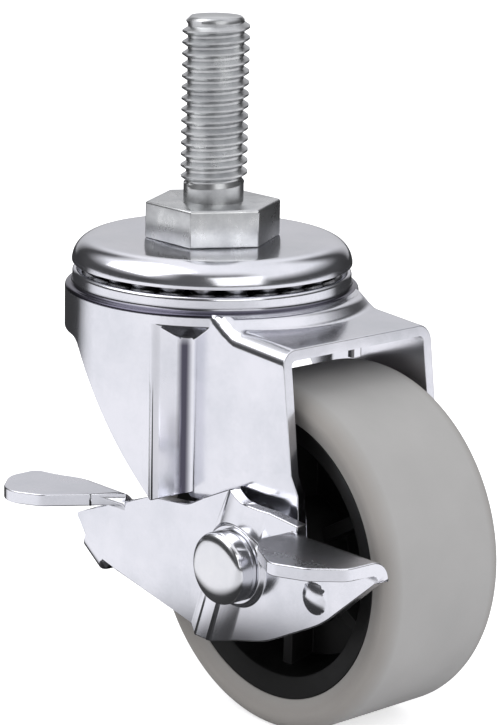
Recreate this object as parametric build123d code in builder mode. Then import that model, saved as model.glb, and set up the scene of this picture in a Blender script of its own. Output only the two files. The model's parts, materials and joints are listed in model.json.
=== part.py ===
"""Swivel castor: threaded stem, double ball race, pressed steel fork, rubber wheel and brake lever.

Lengths are in millimetres. The origin is on the swivel axis, on the top face of the hexagon collar,
which seats against the furniture. +Z points up the stem, +X points to the wheel that trails behind
the swivel axis, and the brake lever is on the -Y side.
"""

import os
from math import atan2, cos, degrees, hypot, radians, sin, sqrt, tan

from build123d import *

os.makedirs("parts", exist_ok=True)

# ---------------------------------------------------------------- driving dimensions
# Fits
seat_gap = 0.05           # axial play where one piece runs against another
running_clearance = 0.05  # radial play of a turning fit
fixed_clearance = 0.10    # radial play of a bolt in a punched hole

# Stem, its hexagon collar and the rivet below the races
stem_diameter = 9.525
stem_length = 26.2
stem_tip_chamfer = 1.2
collar_across_flats = 17.0
collar_height = 5.3
collar_edge_break = 0.35
shank_diameter = 9.0
rivet_shank_diameter = 7.0
rivet_head_diameter = 10.6
rivet_head_height = 1.8
rivet_head_round = 1.26

# Ball races
ball_diameter = 4.0
upper_ball_circle = 33.3
upper_ball_count = 24
lower_ball_circle = 18.4
lower_ball_count = 12
race_wall = 1.4
top_race_lip = 0.05
top_race_edge_round = 0.45
lower_race_wall_height = 0.95
lower_race_floor_rise = 1.1

# Fork crown
sheet = 1.5
race_gap = 1.0
race_rim_inset = 0.1
race_rim_height = 2.2
race_rim_round = 0.6
race_foot_round = 0.4
race_floor_drop = 0.4
crown_overhang = 1.0
crown_round = 0.6
crown_hole_clearance = 1.1
skirt_depth = 13.1
gusset_drop = 1.7
crown_seam = 0.2
gusset_angle = 45.0

# Fork channel and legs
channel_half_width = 13.9
channel_depth = 8.95
channel_slope = 4.0
channel_round = 2.3
channel_rear = 30.45
flare_reach = 2.8
flare_slope = 38.0
flare_round = 2.0
flare_trim = 0.3
skirt_seam = 0.66
plan_corner_round = 2.0
leg_front_slope = 53.3
leg_front_start = -5.8
leg_front_round = 3.0
leg_rear_slope = 7.5
ramp_setback = 4.27
ramp_length = 1.7
step_angle = 19.0
step_distance = 10.5
step_length = 2.9
step_depth = 1.2
leg_end_radius = 9.0
lug_width = 1.8
lug_depth = 1.3
lug_thickness = 1.1
lug_round = 0.33

# Wheel
axle_offset = 24.4
axle_drop = 39.65
wheel_diameter = 49.4
tread_half_width = 8.8
tyre_half_width = 10.7
tyre_face_drop = 2.2
tyre_thickness = 4.43
rim_half_width = 9.77
rim_ring_width = 3.0
rim_ring_dish = 0.9
key_half_width = 3.0
key_height = 1.0
web_half_thickness = 2.0
web_slope = 1.6
hub_boss_radius = 7.6
hub_boss_taper = 0.5
hub_side_gap = 0.15
rib_count = 6
rib_thickness = 1.8
rib_half_width = 6.0
bush_diameter = 9.5
bush_recess = 0.1

# Axle bolt, nut and washers
bolt_diameter = 6.0
bolt_head_diameter = 10.1
bolt_head_height = 3.55
bolt_head_round = 1.2
bolt_end_stand = 1.0
bolt_end_chamfer = 0.8
lever_washer_diameter = 13.0
nut_washer_diameter = 13.0
nut_washer_thickness = 1.2
nut_across_flats = 10.0
nut_height = 4.9
nut_collar_height = 1.3
nut_collar_diameter = 8.9
nut_collar_round = 0.5
nut_face_inset = 0.2
nut_chamfer_rise = 0.62
insert_diameter = 7.6
insert_thickness = 1.2

# Brake lever, drawn about the axle
lever_leg_gap = 0.15
lever_sheet = 1.8
ridge_tilt = 19.3
ridge_offset = 1.1
ridge_width = 8.2
ridge_height = 0.7
pad_rise = 0.06
pad_margin = 0.6
pad_slope = 25.0
bend_radius = 1.0
bend_overlap = 0.3
lever_front_reach = 35.4
lever_rear_reach = 28.0
lever_crest = 10.3
lever_keel = 12.4
front_pedal_height = 4.35
front_pedal_reach = 13.2
rear_pedal_height = 7.5
rear_pedal_reach = 11.4
pedal_margin = 2.6
tab_drop = 3.0
tab_reach = 4.3
dimple_diameter = 4.8
dimple_height = 0.7
dimple_margin = 0.2

# ---------------------------------------------------------------- derived places
race_top = -collar_height
groove_radius = ball_diameter / 2 + seat_gap
upper_ball_radius = upper_ball_circle / 2
lower_ball_radius = lower_ball_circle / 2
upper_ball_z = race_top - race_wall - groove_radius
top_race_bottom = upper_ball_z - top_race_lip
top_race_radius = upper_ball_radius + groove_radius + race_wall
race_rim_radius = top_race_radius - race_rim_inset
crown_radius = top_race_radius + crown_overhang

rim_top = top_race_bottom - race_gap
race_floor = rim_top - race_floor_drop
crown_shoulder = rim_top - race_rim_height
inner_shoulder = crown_shoulder - sheet
gusset_top = crown_shoulder - gusset_drop
channel_top = race_top - channel_depth
skirt_bottom = race_top - skirt_depth
crown_hole_radius = shank_diameter / 2 + crown_hole_clearance

lower_ball_z = race_floor - sheet - groove_radius
lower_race_seat = lower_ball_z - groove_radius + lower_race_floor_rise

axle_z = race_top - axle_drop
axle_axis = Axis((axle_offset, 0, axle_z), (0, 1, 0))
wheel_plane = Plane.YZ.offset(axle_offset)
leg_outer = channel_half_width
leg_inner = channel_half_width - sheet
boss_outer = leg_outer - step_depth
boss_inner = leg_inner - step_depth
hub_half_length = boss_inner - hub_side_gap
wheel_radius = wheel_diameter / 2
tyre_face_radius = wheel_radius - tyre_face_drop
rim_radius = wheel_radius - tyre_thickness

lever_inner = leg_outer + lever_leg_gap
lever_outer = lever_inner + lever_sheet
pad_face = lever_outer + ridge_height + pad_rise
head_seat = pad_face + seat_gap
nut_seat = boss_outer + nut_washer_thickness


def chord(radius, height):
    """Half the width of a circle at a height above or below its centre."""
    return sqrt(radius**2 - height**2)


def axle_point(y, radius):
    """Point of a wheel section, given along the axle and outwards from it."""
    return (y, axle_z + radius)


def ring(outer_radius, inner_radius, y_start, y_end):
    """Turned ring about the axle, between two places along it."""
    with BuildSketch(wheel_plane) as section:
        with BuildLine():
            Polyline(
                axle_point(y_start, inner_radius),
                axle_point(y_end, inner_radius),
                axle_point(y_end, outer_radius),
                axle_point(y_start, outer_radius),
                close=True,
            )
        make_face()
    revolve(section.sketch, axis=axle_axis)


# ---------------------------------------------------------------- stem and races
with BuildPart() as threaded_stem:
    Cylinder(stem_diameter / 2, stem_length, align=(Align.CENTER, Align.CENTER, Align.MIN))
    chamfer(threaded_stem.edges().sort_by(Axis.Z)[-1], stem_tip_chamfer)
    with BuildSketch(Plane.XY.offset(race_top)):
        RegularPolygon(collar_across_flats / 2, 6, major_radius=False, rotation=30)
    extrude(amount=collar_height)
    collar_edges = threaded_stem.edges().filter_by(GeomType.LINE).filter_by_position(
        Axis.Z, -0.01, 0.01
    )
    chamfer(collar_edges, collar_edge_break)
    with BuildSketch(Plane.XY.offset(race_top)):
        Circle(shank_diameter / 2)
    extrude(amount=lower_race_seat - race_top)
    with BuildSketch(Plane.XY.offset(lower_race_seat)):
        Circle(rivet_shank_diameter / 2)
    extrude(amount=-race_wall)
    with BuildSketch(Plane.XY.offset(lower_race_seat - race_wall)):
        Circle(rivet_head_diameter / 2)
    extrude(amount=-rivet_head_height)
    fillet(threaded_stem.edges().sort_by(Axis.Z)[0], rivet_head_round)

with BuildPart() as top_race:
    with BuildSketch(Plane.XZ):
        with BuildLine():
            bore_radius = shank_diameter / 2 + fixed_clearance
            Line((bore_radius, race_top), (upper_ball_radius, race_top))
            CenterArc((upper_ball_radius, upper_ball_z), groove_radius + race_wall, 0, 90)
            Line((top_race_radius, upper_ball_z), (top_race_radius, top_race_bottom))
            Line((top_race_radius, top_race_bottom), (top_race_radius - race_wall, top_race_bottom))
            Line(
                (top_race_radius - race_wall, top_race_bottom),
                (top_race_radius - race_wall, upper_ball_z),
            )
            CenterArc((upper_ball_radius, upper_ball_z), groove_radius, 0, 90)
            Line((upper_ball_radius, race_top - race_wall), (bore_radius, race_top - race_wall))
            Line((bore_radius, race_top - race_wall), (bore_radius, race_top))
        make_face()
    revolve(axis=Axis.Z)
    lip_edges = top_race.edges().filter_by(GeomType.CIRCLE).group_by(Axis.Z)[0]
    fillet(lip_edges.sort_by(SortBy.RADIUS)[-1], top_race_edge_round)

with BuildPart() as lower_race:
    with BuildSketch(Plane.XZ):
        with BuildLine():
            seat_bore = rivet_shank_diameter / 2
            floor_under = lower_race_seat - race_wall
            groove_outside = groove_radius + race_wall
            groove_edge = lower_ball_radius - chord(groove_radius, lower_ball_z - lower_race_seat)
            under_edge = lower_ball_radius - chord(groove_outside, lower_ball_z - floor_under)
            wall_top = lower_ball_z + lower_race_wall_height
            Line((seat_bore, lower_race_seat), (groove_edge, lower_race_seat))
            ThreePointArc(
                (groove_edge, lower_race_seat),
                (lower_ball_radius, lower_ball_z - groove_radius),
                (lower_ball_radius + groove_radius, lower_ball_z),
            )
            Polyline(
                (lower_ball_radius + groove_radius, lower_ball_z),
                (lower_ball_radius + groove_radius, wall_top),
                (lower_ball_radius + groove_outside, wall_top),
                (lower_ball_radius + groove_outside, lower_ball_z),
            )
            ThreePointArc(
                (lower_ball_radius + groove_outside, lower_ball_z),
                (lower_ball_radius, lower_ball_z - groove_outside),
                (under_edge, floor_under),
            )
            Polyline(
                (under_edge, floor_under),
                (seat_bore, floor_under),
                (seat_bore, lower_race_seat),
            )
        make_face()
    revolve(axis=Axis.Z)


def make_balls(name, count, circle_radius, height):
    """Write one ball of the full race per file, spaced evenly on its circle."""
    for index in range(count):
        turn = radians(360 / count * index)
        with BuildPart() as ball:
            with Locations((circle_radius * cos(turn), circle_radius * sin(turn), height)):
                Sphere(ball_diameter / 2)
        label = f"{name}_{index + 1:02d}"
        ball.part.label = label
        export_step(ball.part, f"parts/{label}.step")


# ---------------------------------------------------------------- fork
# The fork is one pressing: a round crown with the ball groove runs into a channel whose two sides are
# the legs. Outside and inside forms are made one sheet apart, and the side outline cuts them.
ramp_end = chord(crown_radius, channel_half_width) - ramp_setback
ramp_start = ramp_end - ramp_length
ramp_touch = chord(crown_radius, ramp_start)
ramp_fall = ramp_touch - channel_half_width
far = 3 * crown_radius
deep = axle_z - 2 * leg_end_radius
step_normal = (-sin(radians(step_angle)), cos(radians(step_angle)))
step_along = (cos(radians(step_angle)), sin(radians(step_angle)))
step_point = (
    axle_offset + step_distance * step_normal[0],
    axle_z + step_distance * step_normal[1],
)


def on_step_line(x):
    """Height of the line where the legs start to step inwards, at a place along X."""
    return step_point[1] + (x - step_point[0]) * tan(radians(step_angle))


def leg_front(z):
    """Place along X of the slanting front edge of the legs at a height."""
    return leg_front_start + (skirt_bottom - z) / tan(radians(leg_front_slope))


def leg_rear(z):
    """Place along X of the rear edge of the legs at a height."""
    return channel_rear + (channel_top - z) * tan(radians(leg_rear_slope))


def channel_blank(plan, half_width, top, depth):
    """Skirt, ramps and channel below a height, or their form a depth of sheet further in.

    The raised plan is cut by the channel's sloping top and by the flare, a cone that climbs from it
    to the crown. Their junction is rounded, and then the folds along the channel's two sides.
    """
    foot_radius = crown_radius + flare_reach
    climb = tan(radians(channel_slope))
    flare_climb = tan(radians(flare_slope))
    plane_drop = depth / cos(radians(channel_slope))
    cone_drop = depth / cos(radians(flare_slope))
    plane_front = channel_top + channel_rear * climb - plane_drop
    flare_foot = channel_top + (channel_rear - foot_radius) * climb
    cone_peak = flare_foot + foot_radius * flare_climb - cone_drop
    with BuildPart() as waste:
        with BuildSketch(Plane.XZ):
            with BuildLine():
                Polyline(
                    (0, plane_front),
                    (far, plane_front - far * climb),
                    (far, far),
                    (0, far),
                    close=True,
                )
            make_face()
        extrude(amount=far, both=True)
        with BuildSketch(Plane.XZ):
            with BuildLine():
                cone_foot = cone_peak - far * flare_climb
                Polyline((0, cone_foot), (far, cone_foot), (0, cone_peak), close=True)
            make_face()
        revolve(axis=Axis.Z, mode=Mode.SUBTRACT)
    with BuildPart() as blank:
        with BuildSketch(Plane.XY.offset(deep)):
            add(plan.sketch)
        extrude(amount=top + flare_trim - deep)
        add(waste.part, mode=Mode.SUBTRACT)
        fillet(blank.edges().filter_by(GeomType.ELLIPSE), flare_round + depth)
        folds = [
            edge
            for side in (-half_width, half_width)
            for edge in blank.edges()
            .filter_by_position(Axis.Y, side - 0.01, side + 0.01)
            .filter_by_position(Axis.Z, skirt_bottom, top + flare_trim - 0.01)
        ]
        fillet(folds, channel_round - depth)
        split(bisect_by=Plane.XY.offset(top), keep=Keep.BOTTOM)
    return blank.part


# Plan of the crown skirt, the ramps behind it and the channel, one sheet apart
with BuildSketch(Plane.XY) as plan_outer:
    Circle(crown_radius)
    for side in (-1, 1):
        with BuildLine():
            Polyline(
                (ramp_end, side * channel_half_width),
                (ramp_end - 2 * ramp_length, side * (channel_half_width + 2 * ramp_fall)),
                (far, side * (channel_half_width + 2 * ramp_fall)),
                (far, side * channel_half_width),
                close=True,
            )
        make_face(mode=Mode.SUBTRACT)
    with Locations((far / 2, 0)):
        Rectangle(far, 2 * channel_half_width)
    fillet(
        plan_outer.vertices().filter_by_position(Axis.X, ramp_start - 0.1, ramp_end + 0.1),
        plan_corner_round,
    )

with BuildSketch(Plane.XY) as plan_inner:
    add(plan_outer.sketch)
    offset(amount=-sheet, kind=Kind.INTERSECTION, mode=Mode.REPLACE)

# Side outline of everything above the step in the legs
front_at_step = leg_front(on_step_line(ramp_start))
rear_at_step = leg_rear(on_step_line(channel_rear))
with BuildSketch(Plane.XZ) as side_outline:
    with BuildLine():
        Polyline(
            (-far, 0),
            (-far, skirt_bottom),
            (leg_front_start, skirt_bottom),
            (front_at_step, on_step_line(front_at_step)),
            (rear_at_step, on_step_line(rear_at_step)),
            (leg_rear(0), 0),
            close=True,
        )
    make_face()
    front_corner = side_outline.vertices().filter_by_position(
        Axis.X, leg_front_start - 0.1, leg_front_start + 0.1
    )
    fillet(front_corner, leg_front_round)

# Outline of the boss at each leg's end, round the axle
with BuildSketch(Plane.XZ) as boss_outline:
    with Locations((axle_offset, axle_z)):
        Circle(leg_end_radius)
    with BuildLine():
        Line((ramp_end, on_step_line(ramp_end)), (rear_at_step, on_step_line(rear_at_step)))
    make_hull()

outer_form = channel_blank(plan_outer, leg_outer, crown_shoulder, 0)
inner_form = channel_blank(plan_inner, leg_inner, inner_shoulder, sheet)

with BuildPart() as fork:
    # outside form
    add(outer_form)
    # under the round crown the blank ends just above the gusset, and only the flare reaches higher
    skirt_end = chord(crown_radius - skirt_seam, channel_half_width)
    with BuildSketch(Plane.XZ):
        with Locations((skirt_end, gusset_top + crown_seam)):
            Rectangle(far, far, align=(Align.MAX, Align.MIN))
    extrude(amount=far, both=True, mode=Mode.SUBTRACT)
    with BuildSketch(Plane.XZ):
        with BuildLine():
            groove_in = upper_ball_radius - chord(groove_radius, upper_ball_z - race_floor)
            groove_out = upper_ball_radius + chord(groove_radius, upper_ball_z - rim_top)
            gusset_depth = crown_radius / tan(radians(gusset_angle))
            Line((0, race_floor), (groove_in, race_floor))
            ThreePointArc(
                (groove_in, race_floor),
                (upper_ball_radius, upper_ball_z - groove_radius),
                (groove_out, rim_top),
            )
            FilletPolyline(
                (groove_out, rim_top),
                (race_rim_radius, rim_top),
                (race_rim_radius, crown_shoulder),
                (crown_radius, crown_shoulder),
                (crown_radius, gusset_top),
                radius=(race_rim_round, race_foot_round, crown_round),
            )
            Polyline((crown_radius, gusset_top), (0, gusset_top - gusset_depth), (0, race_floor))
        make_face()
    revolve(axis=Axis.Z)
    # inside form, one sheet in
    add(inner_form, mode=Mode.SUBTRACT)
    with BuildSketch(Plane.XZ):
        with BuildLine():
            groove_under = upper_ball_z - groove_radius - sheet
            gusset_inner_top = gusset_top - gusset_depth + sheet / sin(radians(gusset_angle))
            gusset_meet = (inner_shoulder - gusset_inner_top) * tan(radians(gusset_angle))
            Polyline(
                (0, race_floor - sheet),
                (groove_in - sheet / 2, race_floor - sheet),
                (groove_in + sheet / 4, groove_under),
                (groove_out - sheet / 3, groove_under),
                (gusset_meet, inner_shoulder),
                (0, gusset_inner_top),
                close=True,
            )
        make_face()
    revolve(axis=Axis.Z, mode=Mode.SUBTRACT)
    # side outline and the hole for the stem
    with BuildSketch(Plane.XZ):
        add(side_outline.sketch)
    extrude(amount=far, both=True, mode=Mode.INTERSECT)
    with BuildSketch(Plane.XY.offset(race_floor)):
        Circle(crown_hole_radius)
    extrude(amount=2 * sheet, both=True, mode=Mode.SUBTRACT)
    # legs below the step line: a strip that steps inwards, cut to the boss outline
    for side in (-1, 1):
        strip_plane = Plane(
            origin=(step_point[0], 0, step_point[1]),
            x_dir=(0, 1, 0),
            z_dir=(step_along[0], 0, step_along[1]),
        )
        with BuildSketch(strip_plane, mode=Mode.PRIVATE) as strip:
            with BuildLine():
                Polyline(
                    (side * leg_outer, 0),
                    (side * boss_outer, -step_length),
                    (side * boss_outer, -far),
                    (side * boss_inner, -far),
                    (side * boss_inner, -step_length),
                    (side * leg_inner, 0),
                    close=True,
                )
            make_face()
        leg_end = extrude(strip.sketch, amount=far, both=True, mode=Mode.PRIVATE)
        outline = extrude(boss_outline.sketch, amount=far, both=True, mode=Mode.PRIVATE)
        add(leg_end & outline)
    # small lug under the middle of the channel's rear edge
    with BuildSketch(Plane.XY.offset(channel_top - sheet - lug_depth)):
        with Locations((channel_rear - lug_thickness / 2, 0)):
            RectangleRounded(lug_thickness, lug_width, lug_round)
    extrude(amount=lug_depth + sheet / 2)
    # axle holes
    with BuildSketch(Plane.XZ):
        with Locations((axle_offset, axle_z)):
            Circle(bolt_diameter / 2 + fixed_clearance)
    extrude(amount=far, both=True, mode=Mode.SUBTRACT)

# ---------------------------------------------------------------- wheel
with BuildPart() as tyre:
    with BuildSketch(wheel_plane):
        with BuildLine():
            Polyline(
                axle_point(0, rim_radius + key_height),
                axle_point(key_half_width, rim_radius + key_height),
                axle_point(key_half_width, rim_radius),
                axle_point(rim_half_width, rim_radius),
                axle_point(tyre_half_width, tyre_face_radius),
            )
            ThreePointArc(
                axle_point(tyre_half_width, tyre_face_radius),
                axle_point(
                    tread_half_width + (tyre_half_width - tread_half_width) * cos(radians(45)),
                    tyre_face_radius + (wheel_radius - tyre_face_radius) * sin(radians(45)),
                ),
                axle_point(tread_half_width, wheel_radius),
            )
            Polyline(
                axle_point(tread_half_width, wheel_radius),
                axle_point(0, wheel_radius),
                axle_point(0, rim_radius + key_height),
            )
        make_face()
        mirror(about=Plane.YZ)
    revolve(axis=axle_axis)

ring_radius = rim_radius - rim_ring_width
ring_face = rim_half_width - rim_ring_dish
with BuildPart() as hub:
    with BuildSketch(wheel_plane):
        with BuildLine():
            Polyline(
                axle_point(0, 0),
                axle_point(hub_half_length, 0),
                axle_point(hub_half_length, hub_boss_radius - hub_boss_taper),
                axle_point(web_half_thickness, hub_boss_radius),
                axle_point(web_half_thickness, ring_radius - web_slope),
                axle_point(ring_face, ring_radius),
                axle_point(rim_half_width, rim_radius),
                axle_point(key_half_width, rim_radius),
                axle_point(key_half_width, rim_radius + key_height),
                axle_point(0, rim_radius + key_height),
                close=True,
            )
        make_face()
        mirror(about=Plane.YZ)
    revolve(axis=axle_axis)
    rib_middle = (hub_boss_radius + ring_radius - hub_boss_taper) / 2
    rib_run = ring_radius - web_slope / 2 - hub_boss_radius + hub_boss_taper
    with BuildSketch(Plane.XZ):
        with Locations((axle_offset, axle_z)):
            with PolarLocations(rib_middle, rib_count, start_angle=30):
                Rectangle(rib_run, rib_thickness)
    extrude(amount=rib_half_width, both=True)
    with BuildSketch(Plane.XZ):
        with Locations((axle_offset, axle_z)):
            Circle(bush_diameter / 2)
    extrude(amount=far, both=True, mode=Mode.SUBTRACT)

with BuildPart() as hub_bush:
    ring(
        bush_diameter / 2,
        bolt_diameter / 2 + running_clearance,
        bush_recess - hub_half_length,
        hub_half_length - bush_recess,
    )

# ---------------------------------------------------------------- axle bolt, nut and washers
bolt_end = nut_seat + nut_height + nut_collar_height + bolt_end_stand
with BuildPart() as axle_bolt:
    ring(bolt_head_diameter / 2, 0, -head_seat - bolt_head_height, -head_seat)
    fillet(axle_bolt.edges().filter_by(GeomType.CIRCLE).sort_by(Axis.Y)[0], bolt_head_round)
    ring(bolt_diameter / 2, 0, -head_seat, bolt_end)
    chamfer(axle_bolt.edges().filter_by(GeomType.CIRCLE).sort_by(Axis.Y)[-1], bolt_end_chamfer)

with BuildPart() as lever_washer:
    ring(
        lever_washer_diameter / 2,
        bolt_diameter / 2 + fixed_clearance,
        seat_gap - lever_inner,
        -boss_outer,
    )

with BuildPart() as nut_washer:
    ring(nut_washer_diameter / 2, bolt_diameter / 2 + fixed_clearance, boss_outer, nut_seat)

insert_seat = nut_seat + nut_height + nut_collar_height - insert_thickness
with BuildPart() as lock_nut:
    with BuildSketch(Plane.XZ.offset(-nut_seat)):
        with Locations((axle_offset, axle_z)):
            RegularPolygon(nut_across_flats / 2, 6, major_radius=False)
    extrude(amount=-nut_height)
    with BuildSketch(wheel_plane):
        with BuildLine():
            nut_face = nut_across_flats / 2 - nut_face_inset
            nut_corner = nut_across_flats / 2 / cos(radians(30)) + nut_face_inset
            Polyline(
                axle_point(nut_seat, 0),
                axle_point(nut_seat, nut_face),
                axle_point(nut_seat + nut_chamfer_rise, nut_corner),
                axle_point(nut_seat + nut_height - nut_chamfer_rise, nut_corner),
                axle_point(nut_seat + nut_height, nut_face),
                axle_point(nut_seat + nut_height, 0),
                close=True,
            )
        make_face()
    revolve(axis=axle_axis, mode=Mode.INTERSECT)
    ring(nut_collar_diameter / 2, 0, nut_seat, nut_seat + nut_height + nut_collar_height)
    fillet(lock_nut.edges().filter_by(GeomType.CIRCLE).sort_by(Axis.Y)[-1], nut_collar_round)
    with BuildSketch(Plane.XZ):
        with Locations((axle_offset, axle_z)):
            Circle(bolt_diameter / 2)
    extrude(amount=-far, mode=Mode.SUBTRACT)
    with BuildSketch(Plane.XZ.offset(-insert_seat)):
        with Locations((axle_offset, axle_z)):
            Circle(insert_diameter / 2)
    extrude(amount=-far, mode=Mode.SUBTRACT)

with BuildPart() as nut_insert:
    ring(insert_diameter / 2, bolt_diameter / 2, insert_seat, insert_seat + insert_thickness)

# ---------------------------------------------------------------- brake lever
# The lever is one pressing: a plate that turns about the axle bolt, with a round ridge across the
# pivot, two foot pedals bent outwards from its top edge and a small tab bent inwards.
lever_plane = Plane(
    origin=(axle_offset, -lever_inner, axle_z), x_dir=(1, 0, 0), z_dir=(0, -1, 0)
)
bend_outside = bend_radius + lever_sheet


def bent_flange(edge, direction, length, reach):
    """Strip bent out of the lever plate, with its outside face at an edge of the outline.

    The edge starts at a point and runs in the given direction; the plate lies on the left of it.
    The strip reaches outwards from the plate when reach is positive and inwards otherwise.
    """
    edge_x, edge_y = edge
    start = lever_plane.from_local_coords((edge_x, edge_y, 0))
    along = lever_plane.from_local_coords(
        (edge_x + cos(radians(direction)), edge_y + sin(radians(direction)), 0)
    )
    outwards = reach > 0
    section_plane = Plane(origin=start, x_dir=(0, -1, 0), z_dir=along - start)
    near_face = 0 if outwards else lever_sheet
    turn = 1 if outwards else -1
    into_plate = section_plane.to_local_coords(
        lever_plane.from_local_coords(
            (edge_x - sin(radians(direction)), edge_y + cos(radians(direction)), 0)
        )
    ).Y
    with BuildSketch(section_plane, mode=Mode.PRIVATE) as flange_section:
        with BuildLine():
            FilletPolyline(
                (near_face, into_plate * (bend_outside + bend_overlap)),
                (near_face, 0),
                (near_face + reach, 0),
                (near_face + reach, into_plate * lever_sheet),
                (near_face + turn * lever_sheet, into_plate * lever_sheet),
                (near_face + turn * lever_sheet, into_plate * (bend_outside + bend_overlap)),
                radius=(0, bend_outside, 0, 0, bend_radius, 0),
                close=True,
            )
        make_face()
    return extrude(flange_section.sketch, amount=length, mode=Mode.PRIVATE)


def lever_point(along, up):
    """Point of the lever's plate, in shares of its reach and its height on that side of the axle."""
    reach = lever_rear_reach if along > 0 else lever_front_reach
    height = lever_crest if up > 0 else lever_keel
    return (along * reach, up * height)


def pedal_point(along, out):
    """Point of a pedal seen from above, in shares of the plate's and the pedal's reach."""
    if along > 0:
        return (along * lever_rear_reach, -out * rear_pedal_reach)
    return (along * lever_front_reach, -out * front_pedal_reach)


with BuildPart() as brake_lever:
    with BuildSketch(lever_plane) as lever_outline:
        with BuildLine():
            rear_neck = rear_pedal_height - bend_outside
            tab_start = lever_point(-0.941, -0.355)
            tab_end = lever_point(-0.831, -0.573)
            FilletPolyline(
                lever_point(-0.045, 1.0),
                lever_point(0.043, 0.893),
                lever_point(0.425, 0.806),
                (lever_point(0.429, 0)[0], rear_neck),
                (lever_point(0.996, 0)[0], rear_neck),
                lever_point(0.961, 0.427),
                lever_point(0.621, -0.315),
                lever_point(0.221, -0.774),
                lever_point(-0.130, -0.992),
                lever_point(-0.226, -1.0),
                lever_point(-0.271, -0.887),
                lever_point(-0.734, -0.637),
                tab_end,
                tab_start,
                lever_point(-1.0, -0.113),
                lever_point(-0.876, 0.049),
                lever_point(-0.537, 0.476),
                lever_point(-0.291, 0.583),
                lever_point(-0.203, 0.748),
                radius=(1.0, 6.0, 0, 0, 0, 0, 20.0, 20.0, 3.0, 0.8)
                + (1.0, 1.0, 0.3, 0.3, 0.5, 0.6, 3.0, 5.0, 2.5),
                close=True,
            )
        make_face()
    extrude(amount=lever_sheet)
    # foot pedals: each bent flange is cut to the pedal's shape seen from above
    pedal_plan = Plane(origin=(axle_offset, -lever_outer, axle_z))
    with BuildSketch(pedal_plan, mode=Mode.PRIVATE) as rear_pedal:
        with BuildLine():
            FilletPolyline(
                pedal_point(0.393, -0.175),
                pedal_point(0.986, -0.175),
                pedal_point(0.975, 0.456),
                pedal_point(0.850, 0.807),
                pedal_point(0.679, 1.0),
                pedal_point(0.471, 0.719),
                pedal_point(0.393, 0.491),
                radius=(0, 0, 3.0, 3.0, 2.5, 3.0, 2.0),
                close=True,
            )
        make_face()
    with BuildSketch(pedal_plan, mode=Mode.PRIVATE) as front_pedal:
        with BuildLine():
            FilletPolyline(
                pedal_point(-0.681, -0.152),
                pedal_point(-0.881, -0.152),
                pedal_point(-0.881, -0.068),
                pedal_point(-1.051, 0.152),
                pedal_point(-1.155, 0.242),
                pedal_point(-1.164, 0.591),
                pedal_point(-1.017, 1.0),
                pedal_point(-0.864, 0.773),
                pedal_point(-0.751, 0.333),
                pedal_point(-0.681, -0.023),
                radius=(0, 0, 0.5, 2.0, 1.6, 4.0, 4.0, 3.0, 3.0, 0.8),
                close=True,
            )
        make_face()
    rear_edge = (lever_rear_reach, rear_pedal_height)
    rear_flange = bent_flange(rear_edge, 180, lever_rear_reach, rear_pedal_reach + pedal_margin)
    add(rear_flange & extrude(rear_pedal.sketch, amount=far, both=True, mode=Mode.PRIVATE))
    front_edge = (0, front_pedal_height)
    front_flange = bent_flange(front_edge, 180, far, front_pedal_reach + pedal_margin)
    add(front_flange & extrude(front_pedal.sketch, amount=far, both=True, mode=Mode.PRIVATE))
    tab_run = (tab_end[0] - tab_start[0], tab_end[1] - tab_start[1])
    tab_turn = atan2(tab_run[1], tab_run[0])
    tab_edge = (tab_start[0] + tab_drop * sin(tab_turn), tab_start[1] - tab_drop * cos(tab_turn))
    add(bent_flange(tab_edge, degrees(tab_turn), hypot(*tab_run), -tab_reach))
    # ridge across the pivot, with the round pad under the bolt head
    ridge_radius = (ridge_width**2 / 4 + ridge_height**2) / (2 * ridge_height)
    ridge_axis = Plane(
        origin=lever_plane.from_local_coords(
            (-ridge_offset, 0, lever_sheet + ridge_height - ridge_radius)
        ),
        x_dir=(0, -1, 0),
        z_dir=(sin(radians(ridge_tilt)), 0, cos(radians(ridge_tilt))),
    )
    with BuildSketch(ridge_axis, mode=Mode.PRIVATE) as ridge_section:
        Circle(ridge_radius)
    with BuildSketch(ridge_axis, mode=Mode.PRIVATE) as groove_section:
        Circle(ridge_radius - lever_sheet)
    ridge_slab = extrude(
        lever_outline.sketch.moved(Location((0, -lever_sheet / 2, 0))),
        amount=lever_sheet,
        mode=Mode.PRIVATE,
    )
    add(extrude(ridge_section.sketch, amount=far, both=True, mode=Mode.PRIVATE) & ridge_slab)
    add(extrude(groove_section.sketch, amount=far, both=True, mode=Mode.PRIVATE), mode=Mode.SUBTRACT)
    with BuildSketch(lever_plane.offset(lever_sheet / 2)):
        Circle(bolt_head_diameter / 2 + pad_margin + ridge_height)
    extrude(amount=pad_face - lever_outer + lever_sheet / 2, taper=pad_slope)
    with BuildSketch(lever_plane):
        Circle(bolt_diameter / 2 + fixed_clearance)
    extrude(amount=2 * lever_sheet + ridge_height, both=True, mode=Mode.SUBTRACT)
    # round dimple under the rear pedal
    dimple_sphere = (dimple_diameter**2 / 4 + dimple_height**2) / (2 * dimple_height)
    dimple_middle = lever_point(0.56, -0.05)
    with BuildSketch(lever_plane.offset(lever_sheet / 2), mode=Mode.PRIVATE) as dimple_disc:
        with Locations(dimple_middle):
            Circle(dimple_diameter / 2 + dimple_margin)
    dimple_place = lever_plane.from_local_coords(
        (*dimple_middle, lever_sheet + dimple_height - dimple_sphere)
    )
    dimple_ball = Location(dimple_place) * Sphere(dimple_sphere, mode=Mode.PRIVATE)
    add(dimple_ball & extrude(dimple_disc.sketch, amount=lever_sheet, mode=Mode.PRIVATE))

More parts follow.
